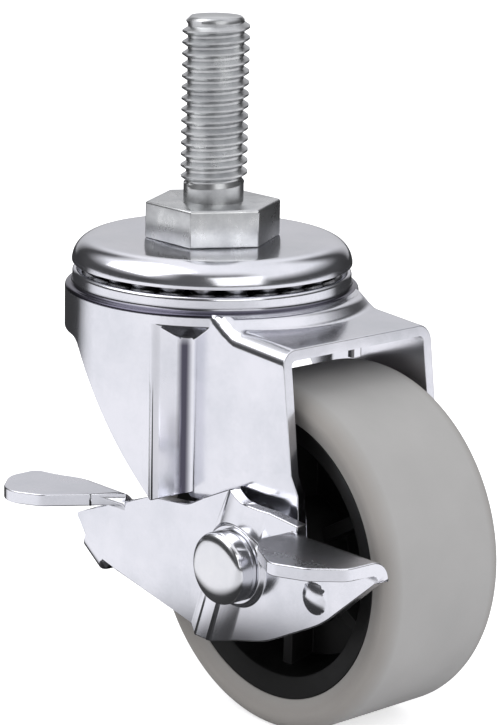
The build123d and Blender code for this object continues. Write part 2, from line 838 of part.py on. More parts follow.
labels_and_parts = [
    ("threaded_stem", threaded_stem),
    ("top_race", top_race),
    ("lower_race", lower_race),
    ("fork", fork),
    ("tyre", tyre),
    ("hub", hub),
    ("hub_bush", hub_bush),
    ("axle_bolt", axle_bolt),
    ("lever_washer", lever_washer),
    ("nut_washer", nut_washer),
    ("lock_nut", lock_nut),
    ("nut_insert", nut_insert),
    ("brake_lever", brake_lever),
]
for name, built in labels_and_parts:
    built.part.label = name
    export_step(built.part, f"parts/{name}.step")
make_balls("upper_ball", upper_ball_count, upper_ball_radius, upper_ball_z)
make_balls("lower_ball", lower_ball_count, lower_ball_radius, lower_ball_z)
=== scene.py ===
"""Looks of a small swivel castor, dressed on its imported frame.

Every length is given in millimetres and turned into metres where a mesh or a light is made. The
origin is on the swivel axis at the top face of the hexagon collar, +Z points up the stem and +X to
the trailing wheel. Each sub-assembly is a class that holds its sizes, builds its pieces with mesh
operators and dresses them.
"""

from __future__ import annotations

import json
import logging
import math
from dataclasses import dataclass, replace
from enum import Enum
from typing import Callable, Sequence

import bmesh
import bpy
from mathutils import Matrix, Vector

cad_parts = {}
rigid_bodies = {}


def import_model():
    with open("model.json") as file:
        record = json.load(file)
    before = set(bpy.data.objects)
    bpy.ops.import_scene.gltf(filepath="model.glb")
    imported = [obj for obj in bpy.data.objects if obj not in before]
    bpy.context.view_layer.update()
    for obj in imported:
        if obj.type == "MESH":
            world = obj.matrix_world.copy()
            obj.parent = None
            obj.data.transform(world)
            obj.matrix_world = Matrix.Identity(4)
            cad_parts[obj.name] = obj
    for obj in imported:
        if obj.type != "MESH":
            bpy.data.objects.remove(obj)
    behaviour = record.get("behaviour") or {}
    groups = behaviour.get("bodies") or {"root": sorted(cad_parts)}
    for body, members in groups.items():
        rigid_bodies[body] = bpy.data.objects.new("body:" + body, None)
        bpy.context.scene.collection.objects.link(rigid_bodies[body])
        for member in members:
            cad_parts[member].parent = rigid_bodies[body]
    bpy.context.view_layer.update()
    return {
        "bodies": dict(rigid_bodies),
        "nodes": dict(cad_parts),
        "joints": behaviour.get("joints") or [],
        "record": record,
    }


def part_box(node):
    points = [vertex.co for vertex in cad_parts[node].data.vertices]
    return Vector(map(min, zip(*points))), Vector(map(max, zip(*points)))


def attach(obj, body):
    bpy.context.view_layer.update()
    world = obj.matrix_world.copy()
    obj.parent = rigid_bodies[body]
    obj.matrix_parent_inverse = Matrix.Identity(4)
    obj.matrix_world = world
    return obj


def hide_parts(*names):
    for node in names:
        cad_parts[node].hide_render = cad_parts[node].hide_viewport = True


LOG = logging.getLogger("castor")
MM = 0.001  # metres in a millimetre
NEAR = 1e-3  # millimetres within which two places are one
AXLE = Vector((24.4, 0.0, -44.95))

Pair = tuple[float, float]
Triple = tuple[float, float, float]
Tones = tuple[Pair, ...]
Mesh = bmesh.types.BMesh
Edge = bmesh.types.BMEdge
Node = bpy.types.Node
Socket = bpy.types.NodeSocket
Inputs = dict[str | int, object]


class Body(Enum):
    """Rigid bodies of the frame that the pieces ride on."""

    MOUNTING = "mounting"
    FORK = "fork_assembly"
    WHEEL = "wheel"
    BRAKE = "brake"


class Slot(Enum):
    """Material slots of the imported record."""

    BRIGHT = "bright_plate"
    STEM = "stem_zinc"
    BALL = "ball_steel"
    TYRE = "tyre_grey"
    HUB = "hub_black"
    INSERT = "insert_nylon"


class Look(Enum):
    """Finishes of the pieces, with the names of their materials."""

    SHEET = "bright_sheet"
    FORK = "fork_plate"
    RIM = "rim_plate"
    LEVER = "lever_plate"
    BOLT = "bright_bolt"
    STEM = "stem_zinc"
    WASHER = "washer_zinc"
    BALL = "ball_steel"
    TYRE = "tyre_rubber"
    HUB = "hub_plastic"
    INSERT = "insert_nylon"


class Effect(Enum):
    """Shader effects that more than one finish uses."""

    MARKS = "handling_marks"
    WAVES = "sheet_waves"
    GRAIN = "fine_grain"


# ---------------------------------------------------------------------------------------- finishes


def opaque(colour: Triple) -> tuple[float, float, float, float]:
    """Give a linear colour its full alpha."""
    return (*colour, 1.0)


class NodeTools:
    """Short helpers that add and join shader nodes in one tree."""

    def __init__(self, tree: bpy.types.NodeTree) -> None:
        """Keep the tree that the nodes go into."""
        self.tree = tree

    @classmethod
    def on(cls, owner: bpy.types.Material | bpy.types.World) -> NodeTools:
        """Switch a material or a world to nodes and empty its tree.

        Args:
            owner: The material or the world.

        Returns:
            Tools for its tree.
        """
        owner.use_nodes = True
        owner.node_tree.nodes.clear()
        return cls(owner.node_tree)

    def feed(self, node: Node, inputs: Inputs) -> Node:
        """Feed a node's inputs.

        Args:
            node: The node.
            inputs: By name or index, a socket to link or a plain value to set.

        Returns:
            The same node.
        """
        for key, value in inputs.items():
            if isinstance(value, Socket):
                self.tree.links.new(value, node.inputs[key])
            else:
                node.inputs[key].default_value = value
        return node

    def add(self, kind: str, inputs: Inputs | None = None, **values: object) -> Node:
        """Add a node, set its properties and feed its inputs.

        Args:
            kind: The node's type name without its prefix.
            inputs: What its inputs are fed with.
            values: Properties of the node to set.

        Returns:
            The new node.
        """
        node = self.tree.nodes.new(f"ShaderNode{kind}")
        for key, value in values.items():
            setattr(node, key, value)
        return self.feed(node, inputs or {})

    def math(self, operation: str, *terms: Socket | float) -> Socket:
        """Do one operation on sockets or numbers."""
        return self.add("Math", dict(enumerate(terms)), operation=operation).outputs[0]

    def vector(self, operation: str, *terms: Socket | Triple, output: str = "Vector") -> Socket:
        """Do one operation on vector sockets or plain vectors, and give one of its outputs."""
        node = self.add("VectorMath", dict(enumerate(terms)), operation=operation)
        return node.outputs[output]

    def axis(self, vector: Socket, name: str) -> Socket:
        """Give one axis of a vector."""
        return self.add("SeparateXYZ", {"Vector": vector}).outputs[name]

    def mix(
        self, factor: Socket, first: Socket | Sequence[float], second: Socket | Sequence[float]
    ) -> Socket:
        """Mix two colours: the first at a factor of 0 and the second at 1."""
        inputs = {"Factor": factor, "A": first, "B": second}
        return self.add("Mix", inputs, data_type="RGBA").outputs["Result"]

    def blend(self, factor: Socket, first: Socket, second: Socket) -> Socket:
        """Mix two shaders: the first at a factor of 0 and the second at 1."""
        return self.add("MixShader", {"Fac": factor, 1: first, 2: second}).outputs["Shader"]

    def noise(
        self, vector: Socket, scale: Socket | float, detail: float, roughness: float = 0.5
    ) -> Socket:
        """Give a noise from 0 to 1, by its repeats per metre, its octaves and their share."""
        inputs = {"Vector": vector, "Scale": scale, "Detail": detail, "Roughness": roughness}
        return self.add("TexNoise", inputs).outputs["Fac"]

    def ramp(
        self, value: Socket, low: float, high: float, to_low: float = 0.0, to_high: float = 1.0
    ) -> Socket:
        """Map a range of a value onto another range, clamped.

        Args:
            value: Socket to read.
            low: Start of the read range.
            high: End of the read range.
            to_low: Result at the start.
            to_high: Result at the end.

        Returns:
            The result's socket.
        """
        inputs = {
            "Value": value,
            "From Min": low,
            "From Max": high,
            "To Min": to_low,
            "To Max": to_high,
        }
        return self.add("MapRange", inputs).outputs[0]


class SharedEffects:
    """Shader effects that more than one finish uses, each built once as a node group.

    Attributes:
        SMEARED: Values of the smears' noise at which a smear starts and is full.
        SPECKED: Haze that the specks add at most.
    """

    SMEARED = (0.36, 0.68)
    SPECKED = 0.35

    def __init__(self) -> None:
        """Start with no groups built."""
        self.built: dict[Effect, bpy.types.NodeTree] = {}
        self.makers: dict[Effect, Callable[[], bpy.types.NodeTree]] = {
            Effect.MARKS: self._handling_marks,
            Effect.WAVES: self._sheet_waves,
            Effect.GRAIN: self._fine_grain,
        }

    def tree(self, effect: Effect) -> bpy.types.NodeTree:
        """Give an effect's group, building it the first time.

        Args:
            effect: The effect.

        Returns:
            Its group.
        """
        if effect not in self.built:
            self.built[effect] = self.makers[effect]()
        return self.built[effect]

    @staticmethod
    def _group(
        effect: Effect, inputs: dict[str, float], outputs: Sequence[str]
    ) -> tuple[NodeTools, Node, Node]:
        """Open a new group with a vector input, named values and named float outputs.

        Args:
            effect: The effect.
            inputs: Name and default of each value input.
            outputs: Names of the outputs.

        Returns:
            The group's tools, and its input and output nodes.
        """
        tree = bpy.data.node_groups.new(effect.value, "ShaderNodeTree")
        tree.interface.new_socket("Place", in_out="INPUT", socket_type="NodeSocketVector")
        for label, default in inputs.items():
            socket = tree.interface.new_socket(label, in_out="INPUT", socket_type="NodeSocketFloat")
            socket.default_value = default
        for label in outputs:
            tree.interface.new_socket(label, in_out="OUTPUT", socket_type="NodeSocketFloat")
        return NodeTools(tree), tree.nodes.new("NodeGroupInput"), tree.nodes.new("NodeGroupOutput")

    def _handling_marks(self) -> bpy.types.NodeTree:
        """Faint smears and specks left on a plated or moulded surface by handling.

        Returns:
            A group that gives Haze, from 0 to 1, and Height, about 0.5.
        """
        scales = {"Smear Scale": 60.0, "Speck Scale": 900.0}
        tools, start, end = self._group(Effect.MARKS, scales, ["Haze", "Height"])
        place = start.outputs["Place"]
        smear = tools.noise(place, start.outputs["Smear Scale"], detail=5.0, roughness=0.6)
        speck = tools.noise(place, start.outputs["Speck Scale"], detail=2.0)
        smears = tools.ramp(smear, *self.SMEARED)
        haze = tools.math("MULTIPLY_ADD", speck, self.SPECKED, smears)
        tools.feed(end, {"Haze": haze, "Height": speck})
        return tools.tree

    def _sheet_waves(self) -> bpy.types.NodeTree:
        """Slow waves of pressed sheet, which bend what the plating reflects.

        Returns:
            A group that gives Height.
        """
        tools, start, end = self._group(Effect.WAVES, {"Wave Scale": 70.0}, ["Height"])
        wave = tools.noise(start.outputs["Place"], start.outputs["Wave Scale"], detail=1.0)
        tools.feed(end, {"Height": wave})
        return tools.tree

    def _fine_grain(self) -> bpy.types.NodeTree:
        """Fine pores and grain of rubber or moulded plastic.

        Returns:
            A group that gives Height and Shade, each about 0.5.
        """
        scales = {"Grain Scale": 1500.0, "Cloud Scale": 90.0}
        tools, start, end = self._group(Effect.GRAIN, scales, ["Height", "Shade"])
        place = start.outputs["Place"]
        grain = tools.noise(place, start.outputs["Grain Scale"], detail=4.0, roughness=0.65)
        cloud = tools.noise(place, start.outputs["Cloud Scale"], detail=3.0)
        tools.feed(end, {"Height": grain, "Shade": cloud})
        return tools.tree


EFFECTS = SharedEffects()
HAZE = (0.0, 1.3)  # range of the marks' haze
GRAIN = (0.3, 0.7)  # range of nearly all of the grain's values


@dataclass(frozen=True)
class Finish:
    """What every finish has: a slot, a colour and a roughness.

    Attributes:
        slot: Material slot of the record that the finish belongs to; not used.
        colour: Linear colour of the surface.
        roughness: Lowest roughness of the surface.
        spread: How much rougher the smears are.
    """

    slot: Slot
    colour: Triple
    roughness: float
    spread: float

    def build(self, name: str) -> bpy.types.Material:
        """Build the material on object coordinates.

        Args:
            name: Name of the material.

        Returns:
            The material.
        """
        material = bpy.data.materials.new(name)
        tools = NodeTools.on(material)
        shader = tools.add("BsdfPrincipled")
        tools.add("OutputMaterial", {"Surface": shader.outputs["BSDF"]})
        tools.feed(shader, self._inputs(tools, tools.add("TexCoord").outputs["Object"]))
        return material

    def _inputs(self, tools: NodeTools, place: Socket) -> Inputs:
        """Give what the shader is fed with, which each finish does in its own way."""
        raise NotImplementedError

    @staticmethod
    def _effect(tools: NodeTools, effect: Effect, place: Socket, *scales: float) -> Node:
        """Place a shared effect in the material with its own scales, in the group's order."""
        inputs = dict(enumerate((place, *scales)))
        return tools.add("Group", inputs, node_tree=EFFECTS.tree(effect))

    @staticmethod
    def _bump(
        tools: NodeTools, height: Socket, depth: float, under: Socket | None = None
    ) -> Socket:
        """Add a bump of a real depth, over an earlier one where there is one.

        Args:
            tools: Node tools of the material.
            height: Socket that gives the height from 0 to 1.
            depth: Depth in millimetres between heights 0 and 1.
            under: Normal of the bump that this one lies on.

        Returns:
            The normal's socket.
        """
        inputs = {"Strength": 1.0, "Distance": depth * MM, "Height": height}
        if under is not None:
            inputs["Normal"] = under
        return tools.add("Bump", inputs).outputs["Normal"]

    def _tint(self, tools: NodeTools, factor: Socket, other: Triple) -> Socket:
        """Mix the finish's colour with another one by a factor."""
        return tools.mix(factor, opaque(self.colour), opaque(other))

    def _rough(self, tools: NodeTools, value: Socket, read: Pair) -> Socket:
        """Map a range of a value onto the finish's range of roughness."""
        return tools.ramp(value, *read, self.roughness, self.roughness + self.spread)


@dataclass(frozen=True)
class BrightPlate(Finish):
    """Bright plating on pressed sheet, with slow waves, faint smears and, where it is set, painted
    shade in folds and at a step's foot.

    Attributes:
        wave: Depth of the waves in millimetres.
        wave_scale: Waves per metre.
        marks: Smears and specks per metre.
        grain: Depth of the specks in millimetres.
        dull: Colour of the smears.
        dulled: Haze at which the smears start to show and are full, and their share then.
        fold: Distance of the upright folds that get painted shade, along X and from the middle
            plane, if any.
        painted_shade_reach: Radii at which the painted shade along a fold starts to fade and ends.
        painted_shade_top: Heights at which the painted shade starts to fade and ends, if there is
            any.
        painted_shade_colour: Colour of the painted shade deep in a fold or at the foot of a step.
        scuff: How much rougher the faces that look up are, where shoes step on them.
        scuff_tilt: How far up a face looks where the scuffs start and are full.
    """

    wave: float = 0.012
    wave_scale: float = 85.0
    marks: Pair = (75.0, 2400.0)
    grain: float = 0.0004
    dull: Triple = (0.70, 0.72, 0.77)
    dulled: Triple = (0.2, 1.4, 0.8)
    fold: Pair | None = None
    painted_shade_reach: Pair = (0.3, 1.15)
    painted_shade_top: Pair | None = None
    painted_shade_colour: Triple = (0.11, 0.105, 0.14)
    scuff: float = 0.0
    scuff_tilt: Pair = (0.55, 0.85)

    def _scuffed(self, tools: NodeTools, roughness: Socket) -> Socket:
        """Roughen the faces that look up.

        Args:
            tools: Node tools of the material.
            roughness: Roughness socket of the open plating.

        Returns:
            The roughness's socket.
        """
        if self.scuff == 0.0:
            return roughness
        upward = tools.axis(tools.add("TexCoord").outputs["Normal"], "Z")
        worn = tools.ramp(upward, *self.scuff_tilt, 0.0, self.scuff)
        return tools.math("ADD", roughness, worn)

    def _painted_fold_shade(self, tools: NodeTools, place: Socket, colour: Socket) -> Socket:
        """Paint shade onto the plating's colour: deep in a fold or at a step's foot.

        Args:
            tools: Node tools of the material.
            place: Coordinate socket.
            colour: Colour socket of the open plating.

        Returns:
            The colour's socket.
        """
        # Painted shade: the colour turns dark deep in a fold or at a step's foot, where shade
        # falls.
        if self.painted_shade_top is None:
            return colour
        low, high = self.painted_shade_top
        share = tools.ramp(tools.axis(place, "Z"), low * MM, high * MM, 1.0, 0.0)
        if self.fold is not None:
            near, far = self.painted_shade_reach
            flat = tools.vector("MULTIPLY", tools.vector("ABSOLUTE", place), (1.0, 1.0, 0.0))
            centre = (self.fold[0] * MM, self.fold[1] * MM, 0.0)
            away = tools.vector("DISTANCE", flat, centre, output="Value")
            deep = tools.ramp(away, near * MM, far * MM, 1.0, 0.0)
            share = tools.math("MULTIPLY", deep, share)
        return tools.mix(share, colour, opaque(self.painted_shade_colour))

    def _inputs(self, tools: NodeTools, place: Socket) -> Inputs:
        """Feed the shader as bright plating.

        Args:
            tools: Node tools of the material.
            place: Coordinate socket.

        Returns:
            The shader's inputs.
        """
        marks = self._effect(tools, Effect.MARKS, place, *self.marks)
        waves = self._effect(tools, Effect.WAVES, place, self.wave_scale)
        haze = marks.outputs["Haze"]
        start, full, share = self.dulled
        colour = self._tint(tools, tools.ramp(haze, start, full, 0.0, share), self.dull)
        slow = self._bump(tools, waves.outputs["Height"], self.wave)
        return {
            "Metallic": 1.0,
            "Roughness": self._scuffed(tools, self._rough(tools, haze, HAZE)),
            "Base Color": self._painted_fold_shade(tools, place, colour),
            "Normal": self._bump(tools, marks.outputs["Height"], self.grain, slow),
        }


@dataclass(frozen=True)
class TurnedZinc(Finish):
    """Satin zinc on turned or forged steel, with fine rings about the vertical axis.

    Attributes:
        marks: Smears and specks per metre.
        ring_scale: Fine rings per metre.
        ring_stretch: Scale of the rings' pattern along X and Y.
        grain: Depth of the rings and of the specks in millimetres.
        dull: Colour of the duller zinc.
    """

    marks: Pair = (220.0, 3200.0)
    ring_scale: float = 2600.0
    ring_stretch: float = 0.05
    grain: float = 0.0012
    dull: Triple = (0.56, 0.57, 0.58)

    def _inputs(self, tools: NodeTools, place: Socket) -> Inputs:
        """Feed the shader as satin zinc.

        Args:
            tools: Node tools of the material.
            place: Coordinate socket.

        Returns:
            The shader's inputs.
        """
        marks = self._effect(tools, Effect.MARKS, place, *self.marks)
        scale = (self.ring_stretch, self.ring_stretch, 1.0)
        stretched = tools.add("Mapping", {"Vector": place, "Scale": scale}).outputs["Vector"]
        rings = tools.noise(stretched, self.ring_scale, detail=2.0)
        haze = marks.outputs["Haze"]
        turned = self._bump(tools, rings, self.grain)
        return {
            "Metallic": 1.0,
            "Roughness": self._rough(tools, haze, HAZE),
            "Base Color": self._tint(tools, haze, self.dull),
            "Normal": self._bump(tools, marks.outputs["Height"], self.grain, turned),
        }


@dataclass(frozen=True)
class WheelRubber(Finish):
    """Grey tyre rubber: a lighter, faintly scuffed tread and warmer, darker sidewalls.

    Attributes:
        side: Colour of the sidewalls.
        shoulder: Distances from the middle plane where the colour starts and ends its change.
        clouds: Shades of the darkest and the lightest clouds.
        grains: Grains and clouds per metre.
        grain: Depth of the grain in millimetres.
        sheen: Specular level.
    """

    side: Triple = (0.30, 0.285, 0.27)
    shoulder: Pair = (8.2, 10.4)
    clouds: Pair = (0.97, 1.03)
    grains: Pair = (2600.0, 130.0)
    grain: float = 0.012
    sheen: float = 0.25

    def _inputs(self, tools: NodeTools, place: Socket) -> Inputs:
        """Feed the shader as rubber.

        Args:
            tools: Node tools of the material.
            place: Coordinate socket.

        Returns:
            The shader's inputs.
        """
        grain = self._effect(tools, Effect.GRAIN, place, *self.grains)
        height = grain.outputs["Height"]
        start, end = self.shoulder
        across = tools.math("ABSOLUTE", tools.axis(place, "Y"))
        base = self._tint(tools, tools.ramp(across, start * MM, end * MM), self.side)
        cloudy = tools.ramp(grain.outputs["Shade"], *GRAIN, *self.clouds)
        shade = tools.add("VectorMath", {"Vector": base, "Scale": cloudy}, operation="SCALE")
        return {
            "Base Color": shade.outputs["Vector"],
            "Roughness": self._rough(tools, height, GRAIN),
            "Specular IOR Level": self.sheen,
            "Normal": self._bump(tools, height, self.grain),
        }


@dataclass(frozen=True)
class MouldedPlastic(Finish):
    """Moulded plastic with a fine spark-eroded grain.

    Attributes:
        worn: Colour where handling has greyed the surface.
        greyed: Haze at which the grey starts to show and is full, and its share then.
        marks: Smears and specks per metre.
        grains: Grains and clouds per metre.
        grain: Depth of the grain in millimetres.
    """

    worn: Triple = (0.05, 0.05, 0.05)
    greyed: Triple = (0.2, 1.3, 0.6)
    marks: Pair = (110.0, 1800.0)
    grains: Pair = (2400.0, 160.0)
    grain: float = 0.006

    def _inputs(self, tools: NodeTools, place: Socket) -> Inputs:
        """Feed the shader as moulded plastic.

        Args:
            tools: Node tools of the material.
            place: Coordinate socket.

        Returns:
            The shader's inputs.
        """
        grain = self._effect(tools, Effect.GRAIN, place, *self.grains)
        haze = self._effect(tools, Effect.MARKS, place, *self.marks).outputs["Haze"]
        start, full, share = self.greyed
        return {
            "Base Color": self._tint(tools, tools.ramp(haze, start, full, 0.0, share), self.worn),
            "Roughness": self._rough(tools, haze, HAZE),
            "Normal": self._bump(tools, grain.outputs["Height"], self.grain),
        }


class Finishes:
    """All finishes of the castor, each built once."""

    def __init__(self) -> None:
        """Set the values of each finish."""
        plate = BrightPlate(Slot.BRIGHT, (0.87, 0.87, 0.92), 0.13, 0.09)
        self.all: dict[Look, Finish] = {
            Look.SHEET: plate,
            # The fork's plating gets painted shade down each leg's fold, and the rim's plating a
            # painted shade band round its foot.
            Look.FORK: replace(plate, fold=(11.45, 14.7), painted_shade_top=(-17.0, -15.0)),
            Look.RIM: replace(plate, painted_shade_top=(-11.8, -11.2)),
            Look.LEVER: replace(plate, scuff=0.11),
            Look.BOLT: BrightPlate(Slot.BRIGHT, (0.86, 0.86, 0.88), 0.12, 0.08, wave=0.002),
            Look.STEM: TurnedZinc(Slot.STEM, (0.78, 0.79, 0.79), 0.24, 0.14),
            Look.WASHER: TurnedZinc(Slot.STEM, (0.62, 0.63, 0.64), 0.22, 0.18),
            Look.BALL: TurnedZinc(Slot.BALL, (0.16, 0.15, 0.14), 0.30, 0.15),
            Look.TYRE: WheelRubber(Slot.TYRE, (0.40, 0.395, 0.39), 0.75, 0.2),
            Look.HUB: MouldedPlastic(Slot.HUB, (0.004,) * 3, 0.42, 0.2, worn=(0.012,) * 3),
            Look.INSERT: MouldedPlastic(
                Slot.INSERT, (0.80, 0.81, 0.83), 0.35, 0.2, worn=(0.7,) * 3
            ),
        }
        self.built: dict[Look, bpy.types.Material] = {}

    def material(self, look: Look) -> bpy.types.Material:
        """Give a finish's material, building it the first time.

        Args:
            look: The finish.

        Returns:
            Its material.
        """
        if look not in self.built:
            self.built[look] = self.all[look].build(look.value)
        return self.built[look]


# -------------------------------------------------------------------------------------- mesh tools


@dataclass(frozen=True)
class Ring:
    """One corner of a turned profile.

    Attributes:
        radius: Distance from the axis in millimetres.
        height: Place along the axis in millimetres.
        round: How far the rounding reaches from the corner, or 0 for a sharp corner.
        segments: Steps of the rounding.
    """

    radius: float
    height: float
    round: float = 0.0
    segments: int = 1

    def holds(self, edge: Edge) -> bool:
        """Tell whether an edge lies on the circle that this corner is turned into."""
        ends = [(math.hypot(vert.co.x, vert.co.y), vert.co.z) for vert in edge.verts]
        return all(math.dist(end, (self.radius, self.height)) < NEAR for end in ends)


def stand(name: str, data: bpy.types.ID) -> bpy.types.Object:
    """Stand a mesh, a lamp or a camera in the scene.

    Args:
        name: Name of the object.
        data: What it shows.

    Returns:
        The object, at the origin.
    """
    made = bpy.data.objects.new(name, data)
    bpy.context.scene.collection.objects.link(made)
    return made


def stand_mesh(name: str, mesh: Mesh) -> bpy.types.Object:
    """Stand a mesh in metres in the scene and free it.

    Args:
        name: Name of the object and its data.
        mesh: The mesh.

    Returns:
        The object, at the origin.
    """
    data = bpy.data.meshes.new(name)
    mesh.to_mesh(data)
    mesh.free()
    return stand(name, data)


class Bench:
    """Mesh operators in millimetres, and the step that turns a mesh into a finished piece.

    Attributes:
        WELD: Distance under which two points of a turned mesh are one.
        LOOSE: Distance under which two points of a copied solid are one.
        FLAT: Angle in degrees under which triangles of a copied solid are one face.
        CREASE: Smallest angle in degrees between two faces that makes a crease.
        WIDE: Smallest width of the faces beside a crease that stays crisp.
        SHEARED: Smallest angle in degrees of an edge that is rounded.
        SHORT: Length of the shortest edge that is rounded, in reaches of the rounding.
        SMOOTH: Angle in degrees up to which the shading is smooth.
    """

    WELD = 1e-5
    LOOSE = 2e-4
    FLAT = 0.08
    CREASE = 10.0
    WIDE = 0.6
    SHEARED = 40.0
    SHORT = 1.5
    SMOOTH = 32.0

    def __init__(self, frame: dict, finishes: Finishes) -> None:
        """Keep the loaded frame and the finishes."""
        self.frame = frame
        self.finishes = finishes

    @staticmethod
    def bevel(mesh: Mesh, edges: Sequence[Edge], reach: float, segments: int) -> None:
        """Round edges with a circular bevel.

        Args:
            mesh: Mesh to change.
            edges: Edges to round.
            reach: Distance from the edge.
            segments: Steps of the rounding.
        """
        bmesh.ops.bevel(
            mesh,
            geom=list(edges),
            offset=reach,
            offset_type="OFFSET",
            segments=segments,
            profile=0.5,
            affect="EDGES",
            clamp_overlap=False,
            material=-1,
        )

    @staticmethod
    def sharp_edges(mesh: Mesh, degrees: float) -> list[Edge]:
        """List edges whose faces meet at more than an angle.

        Args:
            mesh: Mesh to read.
            degrees: Smallest angle between the faces' normals.

        Returns:
            The edges.
        """
        limit = math.radians(degrees)
        return [
            edge
            for edge in mesh.edges
            if len(edge.link_faces) == 2 and edge.calc_face_angle(0.0) > limit
        ]

    @staticmethod
    def spin(
        points: Sequence[Pair], steps: int, closed: bool = False, turns: int = 1, rise: float = 0.0
    ) -> Mesh:
        """Draw a line through points and spin it about the Z axis.

        Args:
            points: Radius and height of each point.
            steps: Steps of each turn.
            closed: Whether the last point joins the first one.
            turns: Number of turns.
            rise: Climb of each turn, or 0 for one full turn that closes.

        Returns:
            The mesh.
        """
        mesh = bmesh.new()
        line = [mesh.verts.new((radius, 0.0, height)) for radius, height in points]
        following = line[1:] + line[:1] if closed else line[1:]
        for ends in zip(line, following):
            mesh.edges.new(ends)
        bmesh.ops.spin(
            mesh,
            geom=list(mesh.verts) + list(mesh.edges),
            cent=(0, 0, 0),
            axis=(0, 0, 1),
            dvec=(0, 0, rise / steps),
            angle=2 * math.pi * turns,
            steps=steps * turns,
            use_merge=rise == 0.0,
            use_duplicate=False,
        )
        return mesh

    @staticmethod
    def lathe(rings: Sequence[Ring], steps: int, closed: bool = True) -> Mesh:
        """Turn a profile about the Z axis and round its corners.

        Args:
            rings: Corners of the profile in order.
            steps: Steps of the full turn.
            closed: Whether the last corner joins the first one.

        Returns:
            The mesh.
        """
        mesh = Bench.spin([(ring.radius, ring.height) for ring in rings], steps, closed)
        bmesh.ops.remove_doubles(mesh, verts=mesh.verts, dist=Bench.WELD)
        for ring in rings:
            if ring.round > 0:
                loop = [edge for edge in mesh.edges if ring.holds(edge)]
                Bench.bevel(mesh, loop, ring.round, ring.segments)
        bmesh.ops.recalc_face_normals(mesh, faces=mesh.faces)
        return mesh

    @staticmethod
    def on_axle(mesh: Mesh) -> Mesh:
        """Turn a mesh made about Z so that its axis is the axle, with +Z towards +Y.

        Args:
            mesh: Mesh to place.

        Returns:
            The same mesh.
        """
        turn = Matrix.Translation(AXLE) @ Matrix.Rotation(math.radians(-90), 4, "X")
        bmesh.ops.transform(mesh, matrix=turn, verts=mesh.verts)
        return mesh

    def copy_of(self, node: str) -> Mesh:
        """Copy a frame node's mesh in millimetres, with its loose triangles merged.

        Args:
            node: Name of the frame node.

        Returns:
            The merged copy.
        """
        mesh = bmesh.new()
        mesh.from_mesh(self.frame["nodes"][node].data)
        bmesh.ops.scale(mesh, vec=(1 / MM,) * 3, verts=mesh.verts)
        bmesh.ops.remove_doubles(mesh, verts=mesh.verts, dist=self.LOOSE)
        flat = math.radians(self.FLAT)
        bmesh.ops.dissolve_limit(mesh, angle_limit=flat, verts=mesh.verts, edges=mesh.edges)
        return mesh

    def piece(
        self,
        mesh: Mesh,
        name: str,
        body: Body,
        look: Look,
        replaces: Sequence[str] = (),
        smooth: float | None = SMOOTH,
    ) -> None:
        """Turn a mesh in millimetres into a piece of the castor.

        Args:
            mesh: The mesh, which is freed.
            name: Name of the piece.
            body: Body that it rides on.
            look: Its finish.
            replaces: Frame nodes that it stands for.
            smooth: Angle in degrees up to which the shading is smooth, or None for a copied
                solid, which keeps its marked creases and even shading on its wide faces.
        """
        bmesh.ops.scale(mesh, vec=(MM, MM, MM), verts=mesh.verts)
        made = stand_mesh(name, mesh)
        made.data.shade_smooth()
        if smooth is None:
            shading = made.modifiers.new("even_shading", "WEIGHTED_NORMAL")
            shading.mode = "FACE_AREA_WITH_ANGLE"
            shading.keep_sharp = True
        else:
            made.data.set_sharp_from_angle(angle=math.radians(smooth))
        self.dress(made, look)
        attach(made, body.value)
        if replaces:
            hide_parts(*replaces)
        LOG.info("%s: %d faces on %s", name, len(made.data.polygons), body.value)

    def softened(
        self, node: str, name: str, body: Body, look: Look, reach: float, segments: int = 2
    ) -> None:
        """Make a piece from a solid of the frame, with its sheared edges rounded.

        The creases between its wide faces stay crisp.

        Args:
            node: Name of the frame node that the piece copies and stands for.
            name: Name of the piece.
            body: Body that it rides on.
            look: Its finish.
            reach: Reach of the rounding.
            segments: Steps of the rounding.
        """
        mesh = self.copy_of(node)
        for edge in self.sharp_edges(mesh, self.CREASE):
            edge.smooth = any(
                face.calc_area() < self.WIDE * max(side.calc_length() for side in face.edges)
                for face in edge.link_faces
            )
        sheared = [
            edge
            for edge in self.sharp_edges(mesh, self.SHEARED)
            if edge.calc_length() > self.SHORT * reach
        ]
        for edge in sheared:
            edge.smooth = True
        self.bevel(mesh, sheared, reach, segments)
        self.piece(mesh, name, body, look, [node], smooth=None)

    def dress(self, made: bpy.types.Object, look: Look) -> None:
        """Give an object one finish.

        Args:
            made: The object.
            look: The finish.
        """
        made.data.materials.clear()
        made.data.materials.append(self.finishes.material(look))


# ------------------------------------------------------------------------------------ the castor


